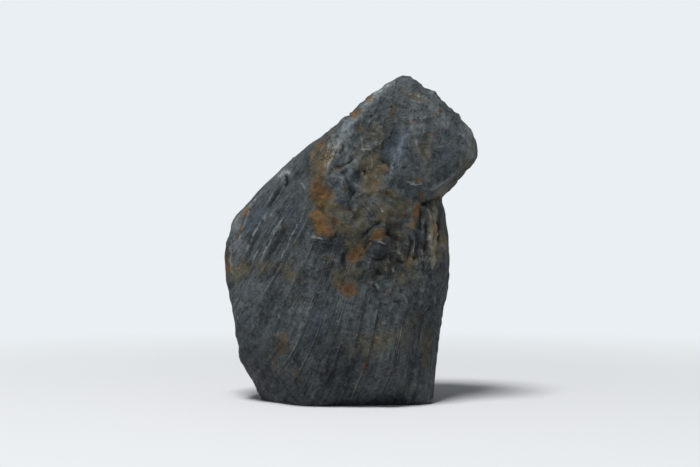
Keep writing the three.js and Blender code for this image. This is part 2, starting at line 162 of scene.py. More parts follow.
# Ridges, clefts and thin lines drawn on the front: points as seen from the camera (millimetres at the
# stone's middle), half width, height, and the line's paleness, which is negative for a dark one.
# The pale lines on the rims and on the lobe's bevel are painted highlights, and the dark lines in the
# notch, left of the lobe, under the block and under the upper crack are painted shadow.
strokes = {
    # painted highlights on the lobe's bevel, in this line and the next
    "lobeBevelHighlight": (((45, 201), (41, 196), (36.5, 189), (33, 180), (30.5, 170), (28.5, 163)), 2.2, 0.8, 0.5),
    "lobeBevelInnerHighlight": (((40, 191), (37.5, 182), (35.5, 172)), 1.2, 0.3, 0.45),
    # painted shadow in the cleft left of the lobe
    "lobeCleftShadow": (((37, 201), (31.5, 191), (28.5, 182), (27, 172)), 2.4, -0.9, -0.5),
    "nosePale": (((79, 203.5), (86, 199), (92, 192), (93.5, 180)), 1.4, 0.3, 0.8),
    "noseRim": (((88, 206), (94, 199), (96, 190), (95, 181)), 1.6, 0.2, 0.5),
    "crownArc": (((41, 215), (46, 212), (56, 212), (66, 215), (71, 220)), 1.2, 0.4, 0.45),
    "noseSeam": (((54.5, 197), (57, 187), (60, 178), (58, 168)), 1.3, -0.5, -0.5),
    "fleck": (((41.5, 163.5), (46, 161.8), (52, 161.5), (56.5, 163.5)), 1.4, 0.4, 2.2),
    # painted shade in the notch under the nose
    "notchCleftShade": (((71, 154.5), (63, 151), (53, 146)), 2.0, -2.6, -1.6),
    "notchDrop": (((54, 147), (54, 137), (53.5, 125)), 1.5, -1.6, -1.3),
    "ribThin": (((57, 146), (59.5, 140), (62.5, 134)), 1.1, 0.6, 0.9),
    "ribTwo": (((65.5, 155), (64.5, 137), (63.5, 122), (62, 90)), 2.6, 1.0, 2.4),
    "ribThree": (((71.5, 148), (72, 130), (71, 106)), 1.5, 0.9, 0.9),
    "grooveOne": (((58.5, 137), (58.5, 124), (57, 108)), 1.6, -1.5, -1.1),
    "grooveTwo": (((67.8, 148), (67.5, 134), (67, 112)), 1.5, -1.8, -1.1),
    "leftRidge": (((-7.5, 197), (-11.5, 189), (-15, 181), (-18, 171)), 2.2, 0.5, 1.7),
    "leftRidgePit": (((-5.5, 193), (-6.5, 186)), 1.6, -1.2, -1.1),
    "leftRidgeBeside": (((-14, 197), (-17, 188), (-21, 176)), 1.2, 0.4, 0.9),
    # painted shadow below the upper crack's pale edge
    "upperCrackShadow": (((4, 182), (-0.5, 178.3), (-6.5, 175.8), (-11.5, 175)), 1.1, -0.9, -1.1),
    "upperCrackEdge": (((5, 181.5), (0, 177.5), (-4, 174.5), (-10, 172)), 1.2, 0.3, 1.2),
    # painted highlight along the crown's rim
    "crownRimHighlight": (((7, 220.5), (15, 227), (22, 232.5), (34, 241.5)), 2.4, 0.3, 1.7),
    # painted highlight along the upper left rim
    "leftRim": (((-91, 129), (-84, 137.5), (-72, 151), (-58, 165)), 1.5, 0.2, 1.1),
    "shoulderKnob": (((-57, 168), (-51.5, 171), (-45, 170.5)), 3.4, 0.7, 2.2),
    "shoulderSpecks": (((-68, 134), (-63, 140), (-57, 135)), 2.6, 0.3, 1.1),
    "creviceLeft": (((-50, 170), (-49, 164.5), (-50, 159)), 1.8, -1.8, -1.8),
    "shoulderCleft": (((-52, 160), (-58, 151), (-64, 142)), 1.7, -0.9, -0.9),
    "shoulderEdge": (((-54, 161), (-60, 152), (-66, 143)), 1.2, 0.4, 0.6),
    "leftLineOne": (((-64, 143), (-72, 126), (-78, 113), (-84, 97)), 1.3, 0.5, 1.2),
    "leftLineTwo": (((-53, 136), (-62, 121), (-71, 109), (-77, 98)), 1.2, 0.5, 1.0),
    "leftLineThree": (((-46, 143), (-52, 133.5), (-61, 117.5), (-71, 97)), 1.3, 0.5, 1.3),
    "leftLineFour": (((-32, 148), (-38, 136), (-43, 125), (-48, 114), (-56, 98)), 1.3, 0.5, 1.1),
    "leftLineFive": (((-73, 149), (-78, 137), (-82, 127), (-86, 114)), 1.2, 0.4, 1.0),
    "leftLineSix": (((-44, 120), (-50, 109), (-54, 98)), 1.1, 0.3, 0.5),
    "leftDarkOne": (((-67, 131), (-75, 114), (-81, 98)), 2.2, -0.6, -0.9),
    "leftDarkTwo": (((-47, 133), (-57, 116), (-67, 98)), 2.2, -0.6, -0.9),
    "leftDarkThree": (((-48, 146), (-56, 132), (-66, 116)), 1.9, -0.5, -0.8),
    "leftDarkFour": (((-36, 134), (-45, 114), (-53, 98)), 1.9, -0.5, -0.7),
    "leftFleck": (((-38, 164.5), (-33, 157.5)), 1.3, 0.5, 0.9),
    "leftEndEdge": (((-90.5, 124), (-89.5, 104), (-89, 90)), 1.6, 0.5, 1.3),
    "rustEdge": (((-31, 120), (-27.5, 122.5), (-20, 120)), 1.4, 0.4, 1.5),
    "blockCleft": (((9.5, 119), (12, 125), (17.5, 130.5), (26, 134.5)), 1.5, -1.3, -1.9),
    "blockEdge": (((20, 119.5), (24, 118.5), (28, 115)), 1.1, 0.6, 0.9),
    "blockCorner": (((12, 110.5), (15.5, 107.5)), 1.2, 0.5, 0.9),
    # painted shadow under the block
    "blockUnderShadow": (((15, 105.5), (23, 104.5), (30, 108)), 1.7, -1.3, -1.1),
    "hollowPit": (((11, 174), (11.5, 168)), 1.5, -1.4, -1.6),
    "hollowCleft": (((-5, 170), (-3, 164), (0, 158), (1.5, 151)), 1.7, -1.2, -0.9),
    "hollowFoot": (((6, 158), (1, 153), (0, 148)), 1.6, -1.1, -1.1),
    "rustCleft": (((22, 182), (29, 176), (29, 166)), 1.4, -1.0, -0.6),
    "midStreak": (((22, 161), (28, 157.5), (35, 150)), 1.2, 0.4, 0.5),
    "midPale": (((34, 143.5), (33, 137)), 1.6, 0.4, 0.5),
    "darkPocket": (((26, 126), (33, 121.5), (38, 119.5)), 2.6, -1.8, -1.3),
    "darkPocketLow": (((32, 109), (30, 103)), 2.0, -1.2, -0.9),
    "lowRib": (((33, 101), (34.5, 94)), 1.2, 0.6, 0.8),
    "lowCleft": (((-5.5, 112), (-5, 103), (-4, 93)), 1.5, -1.2, -1.1),
    "linkCleft": (((10, 111.5), (13, 117), (17.5, 120.5)), 1.4, -0.8, -1.4),
    "deepEdge": (((-3, 104), (3, 103), (10, 104)), 1.1, 0.3, 0.8),
    "lowChipOne": (((35, 113), (39, 109.5)), 1.6, 0.5, 1.3),
    "lowChipTwo": (((31, 100), (34, 95)), 1.5, 0.5, 1.2),
    "lowChipThree": (((44, 113), (46, 108)), 1.3, 0.4, 1.0),
    "lowPitOne": (((34, 106), (41, 101)), 2.2, -0.9, -1.4),
    "lowPitTwo": (((48, 109), (50.5, 104)), 1.8, -0.8, -1.2),
    "lowPitThree": (((20, 99), (25, 93)), 2.0, -0.8, -1.2),
    "crownBand": (((37, 233.5), (46, 230), (56, 228), (63, 226)), 1.8, 0.3, 0.8),
    "crownBandLow": (((42, 227), (53, 224.5), (62, 221)), 1.4, 0.3, 0.6),
    "crownDark": (((30, 229), (37, 222), (44, 217)), 2.2, -0.4, -0.6),
    "crownDarkSide": (((52, 220), (60, 214), (63, 207)), 2.4, -0.3, -0.5),
    "lobeDark": (((45, 190), (49, 182), (50, 173)), 2.2, -0.3, -0.5),
    "lobeLine": (((50, 198), (53, 189), (55, 180)), 1.2, 0.3, 0.6),
    "olivePit": (((17, 205), (19, 200)), 1.8, -0.7, -1.0),
    "olivePale": (((8, 200), (10, 193), (9, 187)), 1.5, 0.4, 0.8),
    "oliveLine": (((14, 186), (17, 178), (15, 171)), 1.4, 0.4, 0.7),
    "midLine": (((8, 148), (14, 143), (18, 137)), 1.3, 0.4, 0.8),
    "midLineLow": (((14, 152), (21, 146), (27, 139)), 1.3, 0.4, 0.8),
    "midDark": (((-2, 146), (3, 139), (6, 132)), 1.9, -0.5, -0.8),
    "fibreOne": (((48, 130), (49, 116), (47, 99)), 1.1, 0.4, 0.8),
    "fibreTwo": (((51.5, 123), (52.5, 112), (52, 101)), 1.2, -0.6, -0.8),
    "fibreThree": (((55.5, 121), (56, 110), (55, 100)), 1.1, 0.4, 0.7),
    "fibreFour": (((39, 114), (40, 105), (38, 96)), 1.1, 0.4, 0.6),
    "fibreFive": (((26, 104), (28, 96), (27, 89)), 1.1, 0.4, 0.6),
    "rightCleft": (((45, 126), (46, 114), (43, 101)), 1.7, -1.3, -0.9),
}


def hash01(x, y, z, seed):
    # a fixed scramble of whole numbers, from 0 to 1: the fraction left of a large sine
    v = np.sin(x * 127.1 + y * 311.7 + z * 74.7 + seed * 53.3) * 43758.5453
    return v - np.floor(v)


def smooth(low, high, x):
    # smooth step from 0 at low to 1 at high
    t = np.clip((x - low) / (high - low), 0, 1)
    return t * t * (3 - 2 * t)


def valueNoise(q, seed):
    # random values at whole-number corners, blended inside each cell by a fifth-power ease, -1 to 1
    c = np.floor(q)
    f = q - c
    f = f * f * f * (f * (f * 6 - 15) + 10)
    total = np.zeros(len(q))
    for dx in (0, 1):
        for dy in (0, 1):
            for dz in (0, 1):
                share = (f[:, 0] if dx else 1 - f[:, 0]) * (f[:, 1] if dy else 1 - f[:, 1])
                share = share * (f[:, 2] if dz else 1 - f[:, 2])
                total += share * hash01(c[:, 0] + dx, c[:, 1] + dy, c[:, 2] + dz, seed)
    return total * 2 - 1


def layeredNoise(q, seed, octaves):
    # noise plus half as much at about twice the rate, and so on
    total, whole = 0, 0
    for k in range(octaves):
        total = total + 0.5 ** k * valueNoise(q * 2.03 ** k, seed + k)
        whole += 0.5 ** k
    return total / whole


def scars(points, cell, seed, tilt, spread, crest, level):
    # soft minimum, over the 27 nearby cells, of tilted bowls: height + slope . r + r squared
    q = points / np.array(cell)
    c = np.floor(q)
    total = np.zeros(len(q))
    for dx in (-1, 0, 1):
        for dy in (-1, 0, 1):
            for dz in (-1, 0, 1):
                at = (c[:, 0] + dx, c[:, 1] + dy, c[:, 2] + dz)
                height = hash01(*at, seed + 6) * spread
                for k in range(3):
                    r = q[:, k] - at[k] - hash01(*at, seed + k)
                    height = height + (hash01(*at, seed + 3 + k) - 0.5) * tilt * r + r * r
                total += np.exp(-crest * height)
    return -np.log(total) / crest - level


def saw(t, edge):
    # a slow rise, then a quick drop in the last part of each turn, from -0.5 to 0.5
    f = t - np.floor(t)
    return np.where(f < 1 - edge, f / (1 - edge), (1 - f) / edge) - 0.5


def planes(table):
    # outward normal (cos t sin h, -cos t cos h, sin t) of each face, and its distance from the origin
    at = np.array([row[0] for row in table.values()], float)
    h = np.radians([row[1] for row in table.values()])
    t = np.radians([row[2] for row in table.values()])
    normals = np.stack([np.cos(t) * np.sin(h), -np.cos(t) * np.cos(h), np.sin(t)], 1)
    return normals, np.sum(normals * at, 1)


def blend(values, gradients, hardness):
    # log of the summed exponentials: a positive hardness keeps the largest value, a negative the smallest
    best = (values * np.sign(hardness)).max(1) * np.sign(hardness)
    weights = np.exp(hardness * (values - best[:, None]))
    whole = weights.sum(1)
    mixed = np.einsum("nk,nkc->nc", weights / whole[:, None], gradients)
    return best + np.log(whole) / hardness, mixed


def body(p):
    # signed distance to the faceted body: every face, and the lower right side under the nose's roof
    def measured(table):
        normals, reach = planes(table)
        return p @ normals.T - reach, np.broadcast_to(normals, (len(p), *normals.shape))

    def joined(*pairs):
        return np.stack([v for v, _ in pairs], 1), np.stack([g for _, g in pairs], 1)

    right = blend(*measured(rightSide), stone["edgeHardness"])
    roof = blend(*measured(noseUnderside), stone["edgeHardness"])
    under = blend(*joined(right, roof), -stone["notchHardness"])
    others = blend(*measured(faces), stone["edgeHardness"])
    return blend(*joined(others, under), stone["edgeHardness"])


def swollenCube(n):
    # six square grids of two parameters, spread by a tangent and pushed out to a unit ball, with
    # shared edges merged; returns directions and quads that point out
    s = np.arange(n + 1)
    i, j = np.meshgrid(s, s, indexing="ij")
    corners, quads = [], []
    for axis in range(3):
        for side in (0, n):
            patch = np.empty((n + 1, n + 1, 3), int)
            patch[..., axis] = side
            patch[..., (axis + 1) % 3] = i
            patch[..., (axis + 2) % 3] = j
            k = len(corners) * (n + 1) ** 2 + np.arange((n + 1) ** 2).reshape(n + 1, n + 1)
            square = np.stack([k[:-1, :-1], k[1:, :-1], k[1:, 1:], k[:-1, 1:]], -1).reshape(-1, 4)
            quads.append(square if side else square[:, ::-1])
            corners.append(patch.reshape(-1, 3))
    corners = np.concatenate(corners)
    code = (corners[:, 0] * (n + 1) + corners[:, 1]) * (n + 1) + corners[:, 2]
    _, first, inverse = np.unique(code, return_index=True, return_inverse=True)
    u = np.tan((corners[first] / n * 2 - 1) * np.pi / 4)
    return u / np.linalg.norm(u, axis=1)[:, None], inverse.reshape(-1)[np.concatenate(quads)]


def surface(u):
    # the point on each ray where the body's distance is zero, found by halving, and its normal
    ray = u * np.array(stone["rayReach"])
    ray[:, 0] += stone["rayLean"] * ray[:, 2]
    heart = np.array(stone["heart"], float)
    inside, outside = np.zeros(len(u)), np.full(len(u), float(stone["rayLongest"]))
    for _ in range(stone["halvings"]):
        middle = (inside + outside) / 2
        within = body(heart + ray * middle[:, None])[0] < 0
        inside, outside = np.where(within, middle, inside), np.where(within, outside, middle)
    p = heart + ray * ((inside + outside) / 2)[:, None]
    g = body(p)[1]
    return p, g / np.linalg.norm(g, axis=1)[:, None]


def frontView(p):
    # where the camera sees a point: x and height above its own, times away / (away + y)
    k = camera["away"] / (camera["away"] + p[:, 1])
    return np.stack([p[:, 0] * k, camera["up"] + (p[:, 2] - camera["up"]) * k], 1)


def strokeDistance(at, points):
    # distance, in the front view, to a chain of straight stretches, below zero on its right hand, and
    # how far along it, 0 to 1
    best, along, hand = np.full(len(at), 1e9), np.zeros(len(at)), np.ones(len(at))
    lengths = [math.dist(a, b) for a, b in zip(points[:-1], points[1:])]
    before = 0
    for a, b, length in zip(points[:-1], points[1:], lengths):
        a, b = np.array(a, float), np.array(b, float)
        t = np.clip((at - a) @ (b - a) / length ** 2, 0, 1)
        distance = np.linalg.norm(at - a - t[:, None] * (b - a), axis=1)
        turned = (b[0] - a[0]) * (at[:, 1] - a[1]) - (b[1] - a[1]) * (at[:, 0] - a[0])
        along = np.where(distance < best, (before + t * length) / sum(lengths), along)
        hand = np.where(distance < best, np.where(turned < 0, -1, 1), hand)
        best = np.minimum(best, distance)
        before += length
    return best * hand, along


def frontShare(p, n):
    # how much of the front's stains and lines a point takes: all where it faces the camera, and on the
    # top, seen edge on, only its fore part as far as a wandering border
    facing = smooth(*reach["facing"], -n[:, 1])
    edgeOn = (1 - smooth(*reach["edgeOn"], -n[:, 1])) * smooth(*reach["upward"], n[:, 2])
    size, cell, seed = reach["wander"]
    return facing * (1 - edgeOn * smooth(*reach["border"], p[:, 1] + size * layeredNoise(p / cell, seed, 3)))


def coarseRelief(p, n):
    # broken surface over the faceted body: large and middling scars, plates along the layers, marks
    x, z = p[:, 0], p[:, 2]
    dx, dz = x - layering["pivot"][0], layering["pivot"][1] - z
    across = np.arctan2(dx, dz) * layering["radius"] + layering["slant"] * p[:, 1]
    layers = np.stack([across, np.hypot(dx, dz), p[:, 1]], 1)
    layers[:, 0] += layering["wander"] * layeredNoise(layers / np.array(layering["wanderCell"]), 5, 2)
    shift = [valueNoise(layers / layering["warpCell"], 90 + k) for k in range(3)]
    warped = layers + np.stack(shift, 1) * np.array(layering["warp"])

    def wandered(size, cell, seed):
        return size * valueNoise(p / cell, seed)

    leftEdge = zones["leftEdge"] - zones["leftLean"] * (z - zones["leftLevel"])
    leftEdge += wandered(*zones["leftWander"])
    left = smooth(zones["leftFade"], -zones["leftFade"], x - leftEdge)
    low = smooth(zones["lowFrom"], zones["lowTo"], z + zones["lowLean"] * x + wandered(*zones["lowWander"]))
    layered = np.maximum(left, low) * (1 - smooth(*zones["toBack"], n[:, 1]))
    facing = smooth(*zones["toFront"], -n[:, 1])
    nose = smooth(*zones["noseRight"], x) * smooth(*zones["noseAbove"], z) * facing
    rough = 1 - zones["layeredCalm"] * layered - zones["noseCalm"] * nose
    rearward = smooth(*zones["rearward"], p[:, 1])
    side = (1 - smooth(*zones["toFront"], np.abs(n[:, 1]))) * smooth(*zones["sideAbove"], z)
    side *= zones["foreCalm"] + (1 - zones["foreCalm"]) * rearward
    fromNotch = np.hypot(x - notch["at"][0], z - notch["at"][1]) / notch["reach"]
    calm = (1 - zones["sideCalm"] * side) * (1 - notch["calm"] * np.exp(-fromNotch ** 2))

    bigCalm = (1 - zones["frontBigCalm"] * facing) * (1 - zones["noseBigCalm"] * nose)
    midShare = zones["leastMid"] + (1 - zones["leastMid"]) * rough
    plateShare = zones["leastPlate"] + (1 - zones["leastPlate"]) * layered
    height = heights["big"] * scars(layers, **bigScars) * calm * bigCalm
    height += heights["mid"] * scars(warped, **midScars) * calm * midShare
    height += heights["plate"] * scars(warped, **plates) * calm * plateShare
    seen = smooth(*zones["toFrontMarks"], -n[:, 1])
    sway = wandered(*zones["dipWander"]) * (1 - rearward)
    for at, turn, long, wide, lift, steep, shares in marks.values():
        a = math.radians(turn)
        fore, rear = shares or (1, 1)
        mx, mz = x - at[0] + sway * (fore < rear), z - at[1]
        u = (mx * math.cos(a) + mz * math.sin(a)) / long
        v = (mz * math.cos(a) - mx * math.sin(a)) / wide
        share = fore + (rear - fore) * rearward if shares else seen
        height += lift * share * np.exp(-np.abs(u) ** (steep + 1) - np.abs(v) ** steep)
    return height, {"layers": layers, "warped": warped, "layered": layered, "nose": nose,
                    "rough": rough, "seen": seen, "side": side, "front": frontShare(p, n)}


def fineRelief(p, area, at):
    # layer edges as saw teeth, flakes and chips, and the drawn ridges and clefts with tapered ends; and
    # for the material the distance to the nearest drawn line in half widths, and its paleness there
    layers, warped, rough, layered = area["layers"], area["warped"], area["rough"], area["layered"]

    def atLeast(least, share):
        return least + (1 - least) * share

    sway = fine["turnSway"] * valueNoise(layers / np.array(fine["turnCell"]), 77)
    turn = layers[:, 0] / fine["turnWidth"] + sway
    run = smooth(*fine["run"], valueNoise(layers / np.array(fine["runCell"]), 78))
    height = heights["step"] * saw(turn, fine["quickPart"]) * run * atLeast(fine["leastStep"], layered)
    even = layeredNoise(p / fine["flakeCell"], 33, 4)
    drawn = layeredNoise(layers / np.array(fine["drawnCell"]), 31, 3)
    flakes = even + (drawn - even) * layered
    height += heights["flake"] * flakes * atLeast(fine["leastFlake"], rough)
    height += heights["chip"] * scars(warped, **chips) * atLeast(fine["leastChip"], rough)
    height *= 1 - fine["sideCalm"] * area["side"]
    nearest, light = np.full(len(p), float(fine["farOff"])), np.zeros(len(p))
    wobble = frontView(at) + fine["wobble"] * valueNoise(p / fine["wobbleCell"], 44)[:, None]
    broken = smooth(*fine["broken"], valueNoise(p / fine["brokenCell"], 45))
    for points, half, lift, paleness in strokes.values():
        distance, along = strokeDistance(wobble, points)
        distance /= half
        taper = smooth(0, fine["taper"], along) * smooth(1, 1 - fine["taper"], along)
        height += lift * np.exp(-distance ** 2) * broken * taper * area["seen"]
        closer = np.abs(distance) < np.abs(nearest)
        nearest = np.where(closer, distance, nearest)
        light = np.where(closer, paleness * taper * smooth(*fine["fade"], np.abs(distance)), light)
    return height, nearest, light * area["front"], turn, run * layered


def shaped(n, detailed):
    # the whole stone on a grid of n squares; what hangs below the foot slides up its ray to z = 0
    u, quads = swollenCube(n)
    p, normal = surface(u)
    height, area = coarseRelief(p, normal)
    if detailed:
        more, *lines = fineRelief(p, area, p + normal * height[:, None])
        area["side"], area["light"], area["turn"], area["streak"] = lines
        height = height + more
    at = p + normal * height[:, None]
    heart = np.array(stone["heart"], float)
    low = at[:, 2] < 0
    at[low] = heart + (at[low] - heart) * (heart[2] / (heart[2] - at[low, 2]))[:, None]
    return at, quads, normal, p, area


coarse = shaped(stone["coarseGrid"], False)[0]
low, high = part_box("stone")
move = np.array([(low[k] + high[k]) * 500 - (coarse[:, k].min() + coarse[:, k].max()) / 2 for k in range(2)])
move = np.append(move, 0.0)
points, quads, outward, rest, area = shaped(stone["fineGrid"], True)
print("stone shaped:", len(points), "points, moved by", move.round(2), "mm")

# Stains as seen from the camera: centre, half width, half height, turn in degrees, strength,
# and tone from 0 ochre over 0.5 orange to 1 dark red.
frontStains = {
    "upperRust": ((-22.5, 154.5), 7.5, 8.5, 0, 1.1, 0.6),
    "rustTrail": ((-22, 144), 6, 12, 0, 1.1, 0.3),
    "brightRust": ((-24, 132), 6.8, 8.5, 10, 1.2, 0.18),
    "brightRustSide": ((-13, 135), 3.5, 4, 0, 0.8, 0.6),
    "rustFoot": ((-16, 125), 5, 4, 0, 0.55, 0.3),
    "rustHead": ((-25, 168), 4.5, 10, -18, 0.35, 0.35),
    "ridgeOchre": ((-20, 184), 4, 11, -25, 0.55, 0.15),
    "ridgeOchreLeft": ((-28, 183), 3, 4, 0, 0.55, 0.2),
    "middleRust": ((21.5, 123.5), 5.5, 4, 25, 1.1, 0.65),
    "middleLink": ((13, 117.5), 4, 2, 50, 0.65, 0.9),
    "deepRust": ((5.5, 109.5), 6.5, 4.2, 25, 1.25, 0.7),
    "deepRustTop": ((8, 112.5), 4, 3, 45, 1.0, 0.7),
    "lowRust": ((-2, 83), 10, 5, -20, 0.95, 0.65),
    "lowRustSide": ((5, 78), 5, 4, 0, 0.6, 0.5),
    "footRust": ((-52, 40), 15, 4, 67, 0.6, 0.35),
    "footRustSide": ((57, 34), 12, 3, 85, 0.55, 0.3),
    "footOchre": ((12, 26), 10, 3, 77, 0.5, 0.15),
    "edgeRust": ((-22.5, 191), 4, 5, -50, 0.9, 0.6),
    "edgeRustNotch": ((-19.5, 197), 2, 4, -20, 0.8, 1.0),
    "edgeRustAbove": ((-15, 202.5), 2, 5, -45, 0.5, 0.8),
    "edgeRustHigh": ((4, 217), 4, 6, -45, 0.9, 0.25),
    "edgeRustTop": ((14, 227.5), 3.5, 6, -45, 0.75, 0.4),
    "thinRust": ((-9, 174.5), 4, 1.6, 10, 0.6, 0.7),
    "hollowTan": ((-4, 158.5), 2.5, 1.5, 0, 0.7, 0.35),
    "olive": ((17, 163), 8, 7, 0, 0.45, 0.05),
    "crack": ((26, 176), 3.5, 7, -5, 0.85, 0.35),
    "crackLow": ((28, 157), 3.5, 7, 40, 0.7, 0.7),
    "upperFleck": ((33, 217.5), 2, 4.5, 0, 0.55, 0.45),
    "noseOchre": ((64, 199), 6, 3.5, -10, 0.45, 0.05),
    "noseOchreLeft": ((50, 209), 8, 2.5, -10, 0.4, 0.1),
    "noseLine": ((58.5, 186), 1.8, 12, 12, 0.3, 0.0),
    "noseFoot": ((51.8, 166), 2.2, 2, 0, 0.65, 0.35),
    "crownTan": ((52, 229), 9, 2.5, -20, 0.3, 0.15),
    "crownRed": ((67.5, 217), 4.5, 2.5, 45, 0.6, 0.3),
    "noseTan": ((77, 197), 3, 2, 0, 0.25, 0.2),
    "aboveNotch": ((54, 154), 3, 4, 0, 0.7, 0.8),
    "besideNotch": ((50.5, 141), 3, 6, -5, 0.85, 0.25),
    "belowNotch": ((47, 132), 3, 5, 0, 0.6, 0.4),
    "notchRust": ((66, 152), 5, 2, 20, 1.0, 0.2),
    "goldSpot": ((40, 139.5), 2, 2.5, 0, 0.9, 0.1),
    "smallRust": ((25, 137), 3, 2, 0, 0.6, 0.6),
    "tanRib": ((63.5, 124), 2.4, 26, 0, 0.45, 0.0),
    "tanRibGold": ((67, 113), 2, 6, 0, 0.5, 0.15),
    "tanRibRight": ((71.5, 128), 2, 20, 0, 0.4, 0.1),
    "leftEndBand": ((-93.2, 105), 3.4, 13, 0, 1.0, 0.4),
    "leftEdge": ((-83.5, 127), 2.5, 9, -25, 0.55, 0.1),
    "leftRim": ((-79, 142), 2, 8, -42, 0.55, 0.15),
    "lowBrown": ((46, 106), 3, 12, 0, 0.36, 0.35),
    "leftTan": ((-48, 131), 4, 3, 0, 0.4, 0.3),
    "scatterOne": ((-42, 117), 4, 3, 0, 0.35, 0.3),
    "scatterTwo": ((-18, 105), 5, 3, 0, 0.35, 0.5),
    "scatterThree": ((-6, 128), 6, 5, 0, 0.35, 0.1),
}
# Wider tints as seen from the camera: centre, half width, half height, turn in degrees, warmth from
# -1 blue to 1 olive, and shade from -1 dark to 1 pale.
# Some of these shades are painted light: the rim highlights, the highlight on the lobe's bevel, the light
# over a pit, the shadow left of the lobe and the shade on the nose's underside.
frontTints = {
    "upperOlive": ((12, 203), 12, 14, 0, 0.5, -0.1),
    "middleOlive": ((16, 178), 12, 20, -10, 0.65, 0.0),
    "middleTan": ((14, 163), 8, 7, 40, 0.7, 0.8),
    "centreOlive": ((6, 141), 26, 13, 0, 0.7, -0.1),
    "upperBrown": ((4, 188), 10, 12, 0, 0.25, 0.1),
    # painted light over a pit in the upper middle, lightening the shade that its hollow throws
    "pitPaintedLight": ((-8, 177), 9, 8, 0, 0.2, 1.6),
    "ridgePale": ((-8, 197), 8, 7, 45, 0.1, 1.5),
    "hollowPale": ((-14, 167), 8, 6, 0, 0.0, 0.8),
    "oliveRight": ((21, 176), 6, 9, 0, 0.8, 0.1),
    "midBrown": ((38, 147), 10, 9, 0, 0.2, -0.45),
    "rustSurround": ((-21, 146), 12, 28, 8, 0.9, -0.2),
    "leftRise": ((-20, 180), 8, 16, -30, 0.6, -0.05),
    "rightMiddle": ((39, 129), 12, 19, 0, 0.3, -0.85),
    "lowRight": ((38, 104), 15, 18, 0, 0.8, -0.7),
    "lowOlive": ((8, 92), 16, 9, 0, 0.6, -0.3),
    "footOlive": ((30, 44), 26, 12, 10, 0.7, -0.2),
    "footBlue": ((-40, 56), 22, 14, -10, -0.5, 0.2),
    "footDark": ((-8, 22), 34, 9, 5, 0.1, -0.4),
    "leftFoot": ((-44, 96), 34, 7, -12, 0.6, -0.3),
    "noseOlive": ((56, 184), 9, 20, 8, 0.35, 0.05),
    "noseTip": ((92, 194), 6, 14, 8, 0.7, 1.5),
    "noseLowRight": ((84, 180), 9, 7, 47, 0.7, 0.4),
    "noseHigh": ((55, 206), 13, 6, -20, 0.0, 0.6),
    "noseRightPale": ((68, 214), 10, 4.5, -45, 0.0, 1.2),
    "noseMiddle": ((70, 187), 5, 6, 0, -0.3, 0.5),
    "crownOlive": ((52, 228), 14, 5, -25, 0.6, 0.1),
    "noseBlue": ((73, 188), 11, 18, 10, -0.4, -0.15),
    # the bevel's own blue tint, with a painted highlight on it
    "bevelBlueHighlight": ((36.5, 185), 20, 2.5, 66, -2.0, 0.6),
    # the groove's own blue tint, with painted shadow left of the lobe
    "grooveBlueShadow": ((28.5, 187), 14, 4, 70, -1.2, -0.8),
    "hollowBlue": ((-5, 162), 10, 11, 0, -0.7, 0.15),
    "midBlue": ((-2, 149), 7, 5, 0, -0.6, -0.2),
    "blockBlue": ((20, 112), 9, 6.5, 20, -0.5, -1.0),
    "underRust": ((-18, 118), 14, 9, 0, -0.6, -0.5),
    "crownBlue": ((22, 222), 12, 5, 45, -0.8, -0.2),
    "edgeBlue": ((-1, 208), 7, 5, 45, -0.9, 0.8),
    "belowEdgeBlue": ((0, 196), 7, 6, 0, -0.7, 0.2),
    "leftBlue": ((-68, 147), 26, 7, 50, -0.5, -0.25),
    "leftShade": ((-48, 138), 26, 16, 60, -0.3, -0.2),
    "leftMiddle": ((-53, 127), 9, 7, 60, 0.0, 0.8),
    "leftLowDark": ((-71, 98), 9, 7, 0, 0.4, -1.0),
    "leftEndLow": ((-88, 100), 7, 12, 0, 0.9, -0.8),
    "leftEndHigh": ((-81, 116), 4, 6, 60, 0.0, 0.6),
    "leftViolet": ((-85, 113), 16, 4, 68, -1.0, 0.7),
    "leftPale": ((-88, 132), 6, 8, -35, -0.2, 1.4),
    "leftCorner": ((-84, 121), 5, 6, 0, 0.2, 0.6),
    "leftEndPale": ((-88, 106), 4, 14, 0, 0.2, 1.1),
    "ribsPale": ((66, 126), 9, 24, 0, 1.1, 0.5),
    "ribPale": ((63.5, 124), 2.6, 26, 0, 0.4, 1.9),
    "edgePale": ((-51, 170.5), 5.5, 3.4, 20, -0.2, 2.2),
    "leftSpecks": ((-62, 138.5), 5, 3.5, -10, 0.0, 1.2),
    "upperLeftDark": ((-38, 174), 14, 5, 45, -0.1, -0.5),
    "topEdgePale": ((4, 211), 12, 5, 45, 0.0, 0.8),
    # painted shade on the nose's underside
    "noseUndersideShade": ((83.5, 166.5), 22, 4.6, 47, 0.7, -2.3),
    "crownPale": ((48.5, 201), 4.5, 6, 0, 0.2, 0.7),
    "rustSpecks": ((-28.5, 121.5), 4, 2, 20, 0.0, 0.8),
    "lowPale": ((-9, 79), 7, 4, 40, -0.3, 0.5),
    # painted highlights along the rims of the upper outline, on the crown, on the upper left edge and right
    # of the peak
    "rimHighlight": ((24, 233.5), 16, 2.8, 46, -0.7, 1.9),
    "rimHighlightLow": ((-74, 149), 24, 2.4, 49, 0.0, 1.2),
    "rimHighlightMiddle": ((-38, 186), 14, 1.8, 42, -0.3, 0.8),
    "rimHighlightRight": ((62, 231), 12, 1.8, -42, 0.3, 0.5),
    "midShade": ((-8, 98), 18, 10, 0, 0.0, -0.4),
    "midBand": ((9, 123), 23, 9, 5, 0.4, -1.3),
    "underBand": ((0, 114), 13, 6, 0, 0.6, -0.3),
    "recessTop": ((70, 155), 4, 6, 0, 0.9, 1.5),
    "aboveNotchPale": ((51, 157), 6, 4, 0, 0.0, 0.6),
}
